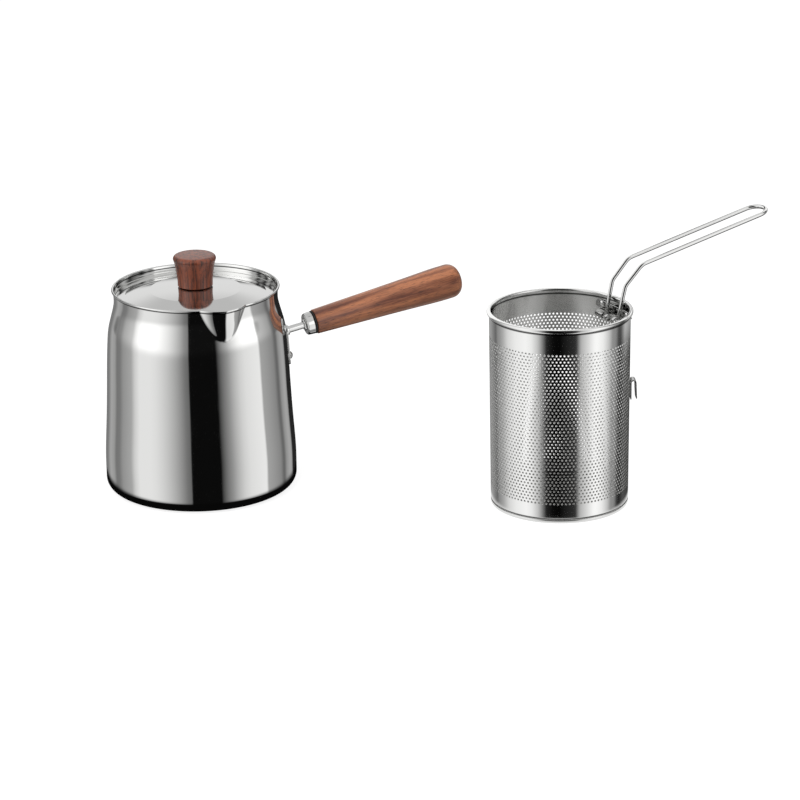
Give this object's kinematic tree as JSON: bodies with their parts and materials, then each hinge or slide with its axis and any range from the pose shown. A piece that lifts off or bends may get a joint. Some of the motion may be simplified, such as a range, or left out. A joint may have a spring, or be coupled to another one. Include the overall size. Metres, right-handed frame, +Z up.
{
  "type": "deep fry pot with basket",
  "caption": "Deep steel fry pot with waist, pouring spout, recessed lid, wooden grip and knob, and a perforated frying basket with a folding wire handle beside it.",
  "frame": {"origin": "centre of the pot's flat underside", "axes": "+Z up, +X from the pot towards the basket, the spout towards -Y"},
  "size_m": [0.4523, 0.1674, 0.1824],
  "materials": {
    "pot_steel": "mirror polished stainless steel",
    "saddle_steel": "polished stainless steel",
    "rivet_steel": "polished stainless steel",
    "rod_steel": "satin stainless steel",
    "ferrule_steel": "polished stainless steel",
    "seal_rubber": "matt black",
    "grip_wood": "turned dark reddish hardwood, oiled",
    "insert_brass": "machined, inside the wood",
    "lid_steel": "mirror polished stainless steel",
    "knob_wood": "turned dark reddish hardwood, oiled",
    "fastener_steel": "plain stainless steel",
    "basket_steel": "perforated stainless sheet, bright",
    "basket_bottom_steel": "bright stainless sheet",
    "bracket_steel": "bright stainless sheet",
    "wire_steel": "bright drawn stainless wire"
  },
  "bodies": {
    "pot": {"pot_body": "pot_steel", "pot_bracket": "saddle_steel", "pot_rivet_front": "rivet_steel", "pot_rivet_back": "rivet_steel", "handle_rod": "rod_steel", "handle_nut": "fastener_steel", "handle_ferrule": "ferrule_steel", "handle_seal": "seal_rubber", "handle_grip": "grip_wood", "grip_insert": "insert_brass"},
    "lid": {"lid_disc": "lid_steel", "lid_knob": "knob_wood", "knob_insert": "insert_brass", "knob_screw": "fastener_steel", "knob_washer": "fastener_steel"},
    "basket": {"basket_wall": "basket_steel", "basket_rim_wire": "basket_steel", "basket_bottom": "basket_bottom_steel", "basket_bracket": "bracket_steel", "basket_rivet_left": "rivet_steel", "basket_rivet_right": "rivet_steel", "basket_hook": "bracket_steel"},
    "basket_wire": {"basket_handle": "wire_steel"}
  },
  "joints": [
    {"name": "lid_lift", "type": "slide", "parent": "pot", "child": "lid", "axis": [0, 0, 1], "range_m": [0, 0.08]},
    {"name": "basket_lift", "type": "slide", "parent": "pot", "child": "basket", "axis": [0, 0, 1], "range_m": [0, 0.2]},
    {"name": "basket_handle_fold", "type": "hinge", "parent": "basket", "child": "basket_wire", "pos_m": [0.27832, -0.02622, 0.1205], "axis": [0.4695, -0.8829, 0], "range_deg": [0, 135]}
  ]
}
